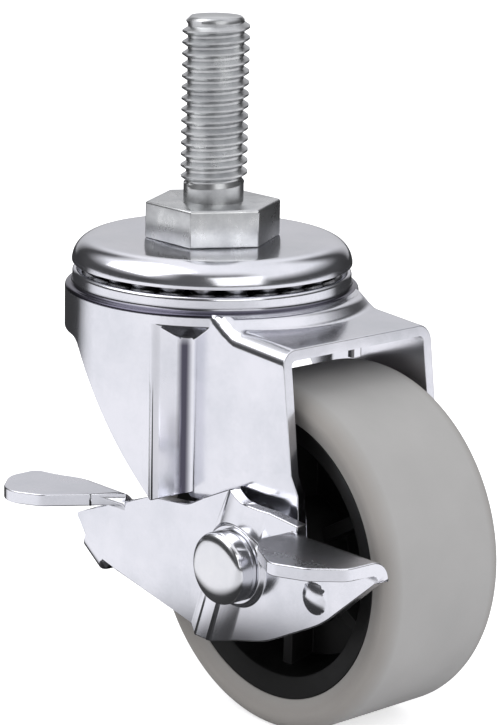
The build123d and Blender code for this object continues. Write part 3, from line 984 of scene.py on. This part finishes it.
@dataclass
class ThreadedStem:
    """Stem with its rolled thread, plain neck, hexagon collar and the rivet under the races.

    Attributes:
        length: Stem above the collar.
        major: Radius over the thread.
        minor: Radius at the thread's root.
        pitch: Distance between turns.
        flanks: Shares of a turn where each flank starts and ends, up to the crest and down.
        steps: Steps of each turn of the thread.
        neck_radius: Radius of the plain neck.
        neck_length: Length of the plain neck.
        neck_slope: How fast the radius grows over the neck.
        tip: Length of the cone at the tip.
        tip_slope: How fast the radius shrinks towards the tip.
        across_flats: Width of the hexagon.
        collar: Height of the hexagon.
        collar_edge: Rounding of the hexagon's upright and lower edges.
        collar_top: Rounding of its top edges.
        shank: Radius of the shank through the races.
        shank_foot: Height of the shank's end over the rivet's foot.
        rivet_neck: Radius between the shank and the rivet's head.
        rivet_head: Radius and height of the rivet's head.
    """

    length: float = 26.2
    major: float = 4.7625
    minor: float = 3.98
    pitch: float = 1.5875
    flanks: tuple[float, ...] = (0.10, 0.42, 0.58, 0.90)
    steps: int = 64
    neck_radius: float = 4.3
    neck_length: float = 2.6
    neck_slope: float = 0.5
    tip: float = 1.2
    tip_slope: float = 0.95
    across_flats: float = 17.0
    collar: float = 5.3
    collar_edge: float = 0.18
    collar_top: float = 0.4
    shank: float = 4.5
    shank_foot: float = 4.6
    rivet_neck: float = 3.5
    rivet_head: Pair = (5.3, 1.8)

    def _trimmed(self, radius: float, height: float) -> float:
        """Trim a radius of the thread to the neck and the tip.

        Args:
            radius: Radius of the full thread.
            height: Height over the collar.

        Returns:
            The radius that is left.
        """
        if height < self.neck_length:
            return self.neck_radius
        over_neck = self.neck_radius + self.neck_slope * (height - self.neck_length)
        at_tip = self.major - self.tip_slope * max(0.0, height - (self.length - self.tip))
        return min(radius, over_neck, at_tip)

    def thread(self) -> Mesh:
        """Screw the thread's section up the stem and trim it to the neck and the tip.

        Returns:
            The threaded stem's mesh.
        """
        shares = (0.0, *self.flanks, 1.0)
        radii = (self.minor, self.minor, self.major, self.major, self.minor, self.minor)
        below, above = 2, 1  # spare turns, which are trimmed off at the ends
        start = -below * self.pitch
        section = [(radius, start + share * self.pitch) for share, radius in zip(shares, radii)]
        turns = below + math.ceil(self.length / self.pitch) + above
        mesh = Bench.spin(section, self.steps, turns=turns, rise=self.pitch)
        bmesh.ops.remove_doubles(mesh, verts=mesh.verts, dist=NEAR)
        for vert in mesh.verts:
            radius = math.hypot(vert.co.x, vert.co.y)
            share = self._trimmed(radius, vert.co.z) / radius
            vert.co.x *= share
            vert.co.y *= share
        for height, up in ((0.0, -1.0), (self.length, 1.0)):
            bmesh.ops.bisect_plane(
                mesh,
                geom=list(mesh.verts) + list(mesh.edges) + list(mesh.faces),
                plane_co=(0, 0, height),
                plane_no=(0, 0, up),
                clear_outer=True,
            )
            rim = [
                edge
                for edge in mesh.edges
                if edge.is_boundary and all(abs(vert.co.z - height) < NEAR for vert in edge.verts)
            ]
            bmesh.ops.contextual_create(mesh, geom=rim)
        bmesh.ops.recalc_face_normals(mesh, faces=mesh.faces)
        return mesh

    def hexagon(self) -> Mesh:
        """Make the collar's hexagon with softened edges.

        Returns:
            The collar's mesh.
        """
        mesh = bmesh.new()
        half_corner = math.radians(30)
        radius = self.across_flats / 2 / math.cos(half_corner)
        bmesh.ops.create_circle(mesh, cap_ends=True, segments=6, radius=radius)
        turn = Matrix.Rotation(half_corner, 3, "Z")
        bmesh.ops.rotate(mesh, verts=mesh.verts, cent=(0, 0, 0), matrix=turn)
        bmesh.ops.translate(mesh, verts=mesh.verts, vec=(0, 0, -self.collar))
        grown = bmesh.ops.extrude_face_region(mesh, geom=list(mesh.faces))
        top = [item for item in grown["geom"] if isinstance(item, bmesh.types.BMVert)]
        bmesh.ops.translate(mesh, verts=top, vec=(0, 0, self.collar))
        bmesh.ops.recalc_face_normals(mesh, faces=mesh.faces)
        for on_top, reach, segments in ((False, self.collar_edge, 3), (True, self.collar_top, 4)):
            edges = [
                edge
                for edge in Bench.sharp_edges(mesh, Bench.CREASE)
                if all(abs(vert.co.z) < NEAR for vert in edge.verts) == on_top
            ]
            Bench.bevel(mesh, edges, reach, segments)
        return mesh

    def rivet(self, foot: float) -> Mesh:
        """Turn the shank through the races and the rivet's head under them.

        Args:
            foot: Height of the head's foot.

        Returns:
            The rivet's mesh.
        """
        head, thick = self.rivet_head
        profile = [
            Ring(0.0, -self.collar),
            Ring(self.shank, -self.collar),
            Ring(self.shank, foot + self.shank_foot),
            Ring(self.rivet_neck, foot + self.shank_foot),
            Ring(self.rivet_neck, foot + thick),
            Ring(head, foot + thick, 0.2, 2),
            Ring(head, foot, 1.2, 5),
            Ring(0.0, foot),
        ]
        return Bench.lathe(profile, self.steps, closed=False)

    def build(self, bench: Bench) -> None:
        """Build and dress the stem's pieces.

        Args:
            bench: Mesh tools.
        """
        body, look = Body.MOUNTING, Look.STEM
        bench.piece(self.thread(), "stem_thread", body, look, ["threaded_stem"], smooth=50.0)
        bench.piece(self.hexagon(), "stem_collar", body, look)
        low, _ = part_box("threaded_stem")
        bench.piece(self.rivet(low.z / MM), "stem_rivet", body, look)


@dataclass
class BallRaces:
    """The bright cap over the upper balls, the cup under the lower ones, and the balls.

    Attributes:
        top: Height of the cap's flat top.
        wall: Thickness of the pressed sheet.
        bore: Radius of the hole for the shank.
        ring: Radius of the upper ball circle.
        corner: Radius of the cap's outer corner.
        lip: Height of the cap's lower edge.
        steps: Steps of the full turn.
    """

    top: float = -5.3
    wall: float = 1.4
    bore: float = 4.6
    ring: float = 16.65
    corner: float = 3.45
    lip: float = -8.8
    steps: int = 192

    def cap(self) -> Mesh:
        """Turn the cap.

        Returns:
            The cap's mesh.
        """
        outside = self.ring + self.corner
        inside = outside - self.wall
        under = self.top - self.wall
        profile = [
            Ring(self.bore, self.top, 0.15, 2),
            Ring(outside, self.top, self.corner, 16),
            Ring(outside, self.lip, 0.45, 5),
            Ring(inside, self.lip, 0.2, 3),
            Ring(inside, under, self.corner - self.wall, 12),
            Ring(self.bore, under),
        ]
        return Bench.lathe(profile, self.steps)

    def build(self, bench: Bench) -> None:
        """Build and dress the races and the balls.

        Args:
            bench: Mesh tools.
        """
        body, look = Body.MOUNTING, Look.SHEET
        bench.piece(self.cap(), "race_cap", body, look, ["top_race"])
        bench.piece(bench.copy_of("lower_race"), "race_cup", body, look, ["lower_race"])
        for name, node in bench.frame["nodes"].items():
            if "_ball_" in name:
                bench.dress(node, Look.BALL)


@dataclass
class SwivelFork:
    """The pressed fork with softened edges, and the fasteners it carries.

    Attributes:
        edge: Reach of the rounding on sheared edges.
        rim_radius: Radius of the raised rim round the balls.
        rim_height: Height of the rim over the crown's shoulder.
        rim_round: Rounding of the rim's top edge.
        foot_round: Rounding at the rim's foot.
        crown_radius: Radius of the round crown.
        crown_round: Rounding of the skin over the crown's edge.
        skin: How far the turned skin over the rim stands proud of the solid.
        skin_edge: Depth of the skin's inner and lower edges.
        skin_reach: How far the skin reaches in over the rim's top.
        skin_back: How deep the skin's back lies inside the rim's side.
        rim_steps: Steps of the skin's full turn.
        head_radius: Radius of the axle bolt's head.
        head_height: Height of the head.
        head_dome: Height of the domed part of the head.
        dome_power: Power of the dome's curve, which is flatter in the middle when it is higher.
        dome_steps: Steps of the dome's curve.
        bolt_radius: Radius of the axle bolt.
        bolt_tip: Width and length of the chamfer at the bolt's end.
        bolt_steps: Steps of the bolt's full turn.
        fastener_edge: Reach of the rounding on the washers and the nut.
    """

    edge: float = 0.16
    rim_radius: float = 20.0
    rim_height: float = 2.2
    rim_round: float = 0.6
    foot_round: float = 0.6
    crown_radius: float = 21.1
    crown_round: float = 0.52
    skin: float = 0.03
    skin_edge: float = 0.1
    skin_reach: float = 1.5
    skin_back: float = 0.5
    rim_steps: int = 720
    head_radius: float = 5.05
    head_height: float = 3.55
    head_dome: float = 1.6
    dome_power: float = 3.4
    dome_steps: int = 24
    bolt_radius: float = 3.0
    bolt_tip: Pair = (0.7, 0.8)
    bolt_steps: int = 128
    fastener_edge: float = 0.12

    def rim(self, top: float) -> Mesh:
        """Turn the even skin over the raised rim round the balls and the crown's edge.

        Args:
            top: Height of the rim's top.

        Returns:
            The rim's mesh.
        """
        outside, face = self.rim_radius + self.skin, top + self.skin
        foot = face - self.rim_height
        under = foot - self.rim_round
        profile = [
            Ring(outside - self.skin_reach, face - self.skin_edge),
            Ring(outside - self.skin_reach, face),
            Ring(outside, face, self.rim_round, 8),
            Ring(outside, foot, self.foot_round, 6),
            Ring(self.crown_radius, foot, self.crown_round, 8),
            Ring(self.crown_radius - self.skin, under - self.skin_edge),
            Ring(outside - self.skin_back, under),
            Ring(outside - self.skin_back, face - self.skin_edge),
        ]
        return Bench.lathe(profile, self.rim_steps)

    def bolt(self, seat: float, end: float) -> Mesh:
        """Turn the axle bolt with its rounded head.

        Args:
            seat: Place of the head's underside along Y.
            end: Place of the bolt's end along Y.

        Returns:
            The bolt's mesh.
        """
        face = seat - self.head_height
        power = 2 / self.dome_power
        profile = []
        for step in range(self.dome_steps + 1):
            turn = math.pi / 2 * step / self.dome_steps
            share, sunk = math.sin(turn) ** power, 1 - math.cos(turn) ** power
            profile.append(Ring(self.head_radius * share, face + self.head_dome * sunk))
        width, length = self.bolt_tip
        profile += [
            Ring(self.head_radius, seat, 0.15, 2),
            Ring(self.bolt_radius, seat),
            Ring(self.bolt_radius, end - length),
            Ring(self.bolt_radius - width, end, 0.1, 2),
            Ring(0.0, end),
        ]
        return Bench.on_axle(Bench.lathe(profile, self.bolt_steps, closed=False))

    def build(self, bench: Bench) -> None:
        """Build and dress the fork and its fasteners.

        Args:
            bench: Mesh tools.
        """
        body = Body.FORK
        bench.softened("fork", "fork_sheet", body, Look.FORK, self.edge)
        _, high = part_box("fork")
        bench.piece(self.rim(high.z / MM), "fork_rim", body, Look.RIM)
        low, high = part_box("axle_bolt")
        bolt = self.bolt(low.y / MM + self.head_height, high.y / MM)
        bench.piece(bolt, "axle_bolt_turned", body, Look.BOLT, ["axle_bolt"])
        for node, look in (
            ("lever_washer", Look.WASHER),
            ("nut_washer", Look.WASHER),
            ("lock_nut", Look.WASHER),
            ("nut_insert", Look.INSERT),
        ):
            bench.softened(node, f"{node}_dressed", body, look, self.fastener_edge)


@dataclass
class BrakeLever:
    """The pressed brake lever.

    Attributes:
        edge: Reach of the rounding on its edges.
        edge_steps: Steps of the rounding.
    """

    edge: float = 0.2
    edge_steps: int = 3

    def build(self, bench: Bench) -> None:
        """Build and dress the lever with the bench's tools."""
        look = Look.LEVER
        bench.softened("brake_lever", "lever_sheet", Body.BRAKE, look, self.edge, self.edge_steps)


@dataclass
class CastorWheel:
    """Tyre, hub and bush of the wheel.

    Attributes:
        radius: Radius of the tread.
        half: Half width of the tyre.
        taper: How much less the half width is at the tread than at the sidewall.
        face: Radius where the shoulder ends and the sidewall starts.
        rim: Radius of the tyre's seat on the hub.
        rim_half: Half width of the hub at the rim.
        key: Half width and height of the hub's key rib.
        hub_edge: Reach of the rounding on the hub's edges.
        steps: Steps of the tyre's full turn.
    """

    radius: float = 24.7
    half: float = 10.7
    taper: float = 0.05
    face: float = 22.5
    rim: float = 20.27
    rim_half: float = 9.77
    key: Pair = (3.0, 1.0)
    hub_edge: float = 0.15
    steps: int = 224

    def tyre(self) -> Mesh:
        """Turn the tyre with its rounded shoulders.

        Returns:
            The tyre's mesh.
        """
        width, height = self.key
        profile = [
            Ring(self.rim + height, width),
            Ring(self.rim, width),
            Ring(self.rim, self.rim_half, 0.25, 3),
            Ring(self.face, self.half, 0.5, 3),
            Ring(self.radius, self.half - self.taper, 2.0, 10),
        ]
        profile += [replace(ring, height=-ring.height) for ring in reversed(profile)]
        return Bench.on_axle(Bench.lathe(profile, self.steps))

    def build(self, bench: Bench) -> None:
        """Build and dress the wheel's pieces.

        Args:
            bench: Mesh tools.
        """
        body = Body.WHEEL
        bench.piece(self.tyre(), "wheel_tyre", body, Look.TYRE, ["tyre"], smooth=40.0)
        bench.softened("hub", "wheel_hub", body, Look.HUB, self.hub_edge)
        bench.piece(bench.copy_of("hub_bush"), "wheel_bush", body, Look.WASHER, ["hub_bush"])


# ------------------------------------------------------------------------------------- the studio


@dataclass(frozen=True)
class Lamp:
    """A soft square lamp.

    Attributes:
        name: Name of the lamp.
        place: Where it hangs.
        size: Length of its side.
        power: Power in watts.
    """

    name: str
    place: Triple
    size: float
    power: float


@dataclass
class Studio:
    """Pale floor, soft lights, world and camera.

    A ramp of tones is a row of pairs: a place from 0 to 1, and the grey level there.

    Attributes:
        floor: Height of the floor.
        floor_half: Half width of the floor.
        floor_colour: Linear colour of its paper.
        floor_glow: Glow of the paper, for the camera alone.
        floor_tones: Tones that the plating sees on the floor, from behind the object forwards.
        shade_centre: Place along X of the painted shadow under the object, which only the plating
            sees on the floor.
        shade_reach: Radii where that patch starts to fade and ends.
        shade_depth: Share of the tone that is left in it.
        side_tones: Tones of the wall at the sides, from the horizon up.
        flank_tones: Tones of the wall between the sides and the back.
        back_tones: Tones of the wall straight behind the object.
        front_tones: Tones of the wall behind the camera.
        flank: Bearings between which the side's tones turn into the flank's.
        behind: Bearings between which they turn into the back's.
        ahead: Bearings between which they turn into the front's.
        tone_blue: Blue of every tone against its red and green.
        soft_light: Colour that the room lights plain surfaces with.
        lamps: The lamps.
        target: Point that the camera circles.
        azimuth: Camera's bearing round the object in degrees.
        elevation: Camera's height above the horizon in degrees.
        distance: Camera's distance from the target.
        yaw: Small turn of the view to the side in degrees.
        pitch: Small turn of the view up in degrees.
        roll: Turn about the view line in degrees.
        lens: Focal length for the sensor.
        sensor: Long side of the sensor.
        clip: Nearest and farthest distance that the camera sees.
    """

    floor: float = -69.65
    floor_half: float = 4000.0
    floor_colour: Triple = (0.82, 0.82, 0.83)
    floor_glow: float = 0.62
    floor_tones: Tones = (
        (0.0, 0.04),
        (0.26, 0.05),
        (0.32, 0.75),
        (0.42, 0.97),
        (0.86, 0.95),
        (0.95, 0.80),
        (1.0, 0.74),
    )
    shade_centre: float = 15.0
    shade_reach: Pair = (46.0, 62.0)
    shade_depth: float = 0.06
    side_tones: Tones = ((0.0, 0.06), (0.30, 0.07), (0.46, 0.40), (0.62, 0.95), (1.0, 1.0))
    flank_tones: Tones = ((0.0, 0.04), (0.66, 0.06), (0.82, 0.90), (1.0, 1.0))
    back_tones: Tones = ((0.0, 0.55), (0.40, 0.64), (0.62, 0.95), (1.0, 1.0))
    front_tones: Tones = ((0.0, 0.10), (0.78, 0.10), (0.92, 0.90), (1.0, 1.0))
    flank: Pair = (-0.55, -0.78)
    behind: Pair = (-0.86, -0.955)
    ahead: Pair = (0.62, 0.88)
    tone_blue: float = 1.03
    soft_light: Triple = (0.85, 0.85, 0.86)
    lamps: tuple[Lamp, ...] = (
        Lamp("key_lamp", (-250.0, -420.0, 620.0), 700.0, 2.2),
        Lamp("fill_lamp", (750.0, -250.0, 380.0), 600.0, 1.6),
    )
    target: Triple = (8.0, 0.0, -23.3)
    azimuth: float = 48.2512
    elevation: float = 14.3404
    distance: float = 391.0
    yaw: float = 0.0559
    pitch: float = -0.1345
    roll: float = -1.1895
    lens: float = 136.196
    sensor: float = 36.0
    clip: Pair = (10.0, 20000.0)

    def _bearing(self, tools: NodeTools, place: Socket) -> Socket:
        """Give how far a place or a direction lies towards the camera's bearing.

        Args:
            tools: Node tools of the tree.
            place: Socket with the place or the direction.

        Returns:
            A value from -1, behind the object, to 1, on the camera's side.
        """
        flat = tools.vector("MULTIPLY", place, (1.0, 1.0, 0.0))
        unit = tools.vector("NORMALIZE", flat)
        side = math.radians(self.azimuth)
        ahead = (math.sin(side), -math.cos(side), 0.0)
        return tools.vector("DOT_PRODUCT", unit, ahead, output="Value")

    def _tone(self, tools: NodeTools, value: Socket, stops: Tones) -> Socket:
        """Turn a value from 0 to 1 into a grey level along a ramp.

        Args:
            tools: Node tools of the tree.
            value: Socket to read.
            stops: The ramp's tones.

        Returns:
            The colour socket.
        """
        ramp = tools.add("ValToRGB", {"Fac": value})
        elements = ramp.color_ramp.elements
        elements[0].position, elements[1].position = stops[0][0], stops[-1][0]
        for position, _ in stops[1:-1]:
            elements.new(position)
        for element, (_, level) in zip(elements, stops):
            element.color = (level, level, level * self.tone_blue, 1.0)
        return ramp.outputs["Color"]

    def add_floor(self) -> None:
        """Make the pale floor: white paper that the bright plating sees as lit from the sides, and
        a painted shadow under the object that only the plating sees.
        """
        mesh = bmesh.new()
        bmesh.ops.create_grid(mesh, x_segments=2, y_segments=2, size=self.floor_half * MM)
        bmesh.ops.translate(mesh, verts=mesh.verts, vec=(0, 0, self.floor * MM))
        made = stand_mesh("floor", mesh)
        material = bpy.data.materials.new("floor_paper")
        tools = NodeTools.on(material)
        path = tools.add("LightPath").outputs
        place = tools.add("TexCoord").outputs["Object"]
        paper = tools.add("BsdfDiffuse", {"Color": opaque(self.floor_colour)})
        seen = tools.ramp(path["Is Camera Ray"], 0.0, 1.0, 0.0, self.floor_glow)
        glow = tools.add("Emission", {"Strength": seen})
        lit = tools.add("AddShader", {0: paper.outputs["BSDF"], 1: glow.outputs["Emission"]})
        share = tools.ramp(self._bearing(tools, place), -1.0, 1.0)
        # Painted shadow: the tone that the plating sees on the floor is darkened near the object.
        centre = (self.shade_centre * MM, 0.0, self.floor * MM)
        away = tools.vector("DISTANCE", place, centre, output="Value")
        near, far = self.shade_reach
        painted_shadow = tools.ramp(away, near * MM, far * MM, self.shade_depth, 1.0)
        tone = self._tone(tools, share, self.floor_tones)
        mirrored = tools.add("Emission", {"Color": tone, "Strength": painted_shadow}).outputs["Emission"]
        both = tools.blend(path["Is Glossy Ray"], lit.outputs["Shader"], mirrored)
        tools.add("OutputMaterial", {"Surface": both})
        made.data.materials.append(material)

    def add_world(self) -> None:
        """Make the world: white to the camera, and to the object a room with a bright ceiling.

        The walls are darker near the horizon: least straight behind the object, and highest up
        behind the camera.
        """
        world = bpy.data.worlds.new("studio_room")
        bpy.context.scene.world = world
        tools = NodeTools.on(world)
        place = tools.add("TexCoord").outputs["Generated"]
        height = tools.axis(place, "Z")
        bearing = self._bearing(tools, place)
        wall = self._tone(tools, height, self.side_tones)
        for window, tones in (
            (self.flank, self.flank_tones),
            (self.behind, self.back_tones),
            (self.ahead, self.front_tones),
        ):
            share = tools.ramp(bearing, *window)
            wall = tools.mix(share, wall, self._tone(tools, height, tones))
        room, soft, white = (
            tools.add("Background", {"Color": colour}).outputs["Background"]
            for colour in (wall, opaque(self.soft_light), opaque((1.0, 1.0, 1.0)))
        )
        path = tools.add("LightPath").outputs
        lit = tools.blend(path["Is Diffuse Ray"], room, soft)
        tools.add("OutputWorld", {"Surface": tools.blend(path["Is Camera Ray"], lit, white)})

    def add_lamps(self) -> None:
        """Hang the soft square lamps, each aimed at the castor's middle."""
        middle = Vector(self.target) * MM
        for lamp in self.lamps:
            data = bpy.data.lights.new(lamp.name, "AREA")
            data.shape = "SQUARE"
            data.size = lamp.size * MM
            data.energy = lamp.power
            made = stand(lamp.name, data)
            made.location = Vector(lamp.place) * MM
            made.rotation_mode = "QUATERNION"
            made.rotation_quaternion = (middle - made.location).to_track_quat("-Z", "Y")

    def add_camera(self) -> None:
        """Set the camera on its bearing, with its small turns about its own axes."""
        data = bpy.data.cameras.new("camera")
        data.sensor_width = data.sensor_height = self.sensor
        data.lens = self.lens
        data.clip_start, data.clip_end = (limit * MM for limit in self.clip)
        side, rise = math.radians(self.azimuth), math.radians(self.elevation)
        flat = math.cos(rise)
        back = Vector((math.sin(side) * flat, -math.cos(side) * flat, math.sin(rise)))
        aim = (-back).to_track_quat("-Z", "Y").to_matrix()
        for degrees, axis in ((self.yaw, "Y"), (self.pitch, "X"), (self.roll, "Z")):
            aim = aim @ Matrix.Rotation(-math.radians(degrees), 3, axis)
        made = stand("camera", data)
        made.rotation_mode = "QUATERNION"
        made.rotation_quaternion = aim.to_quaternion()
        made.location = (Vector(self.target) + back * self.distance) * MM
        bpy.context.scene.camera = made

    def build(self) -> None:
        """Build the whole studio."""
        self.add_floor()
        self.add_world()
        self.add_lamps()
        self.add_camera()
        bpy.context.scene.view_settings.view_transform = "Standard"


# ------------------------------------------------------------------------------------------- main


def main() -> None:
    """Load the frame, build every sub-assembly and build the studio."""
    logging.basicConfig(level=logging.INFO, format="%(name)s: %(message)s")
    for thing in list(bpy.data.objects):
        bpy.data.objects.remove(thing)
    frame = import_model()
    bench = Bench(frame, Finishes())
    builders: list[tuple[str, Callable[[Bench], None]]] = [
        ("stem", ThreadedStem().build),
        ("races", BallRaces().build),
        ("fork", SwivelFork().build),
        ("brake lever", BrakeLever().build),
        ("wheel", CastorWheel().build),
    ]
    for title, build in builders:
        LOG.info("building the %s", title)
        build(bench)
    Studio().build()


if __name__ == "__main__":
    main()
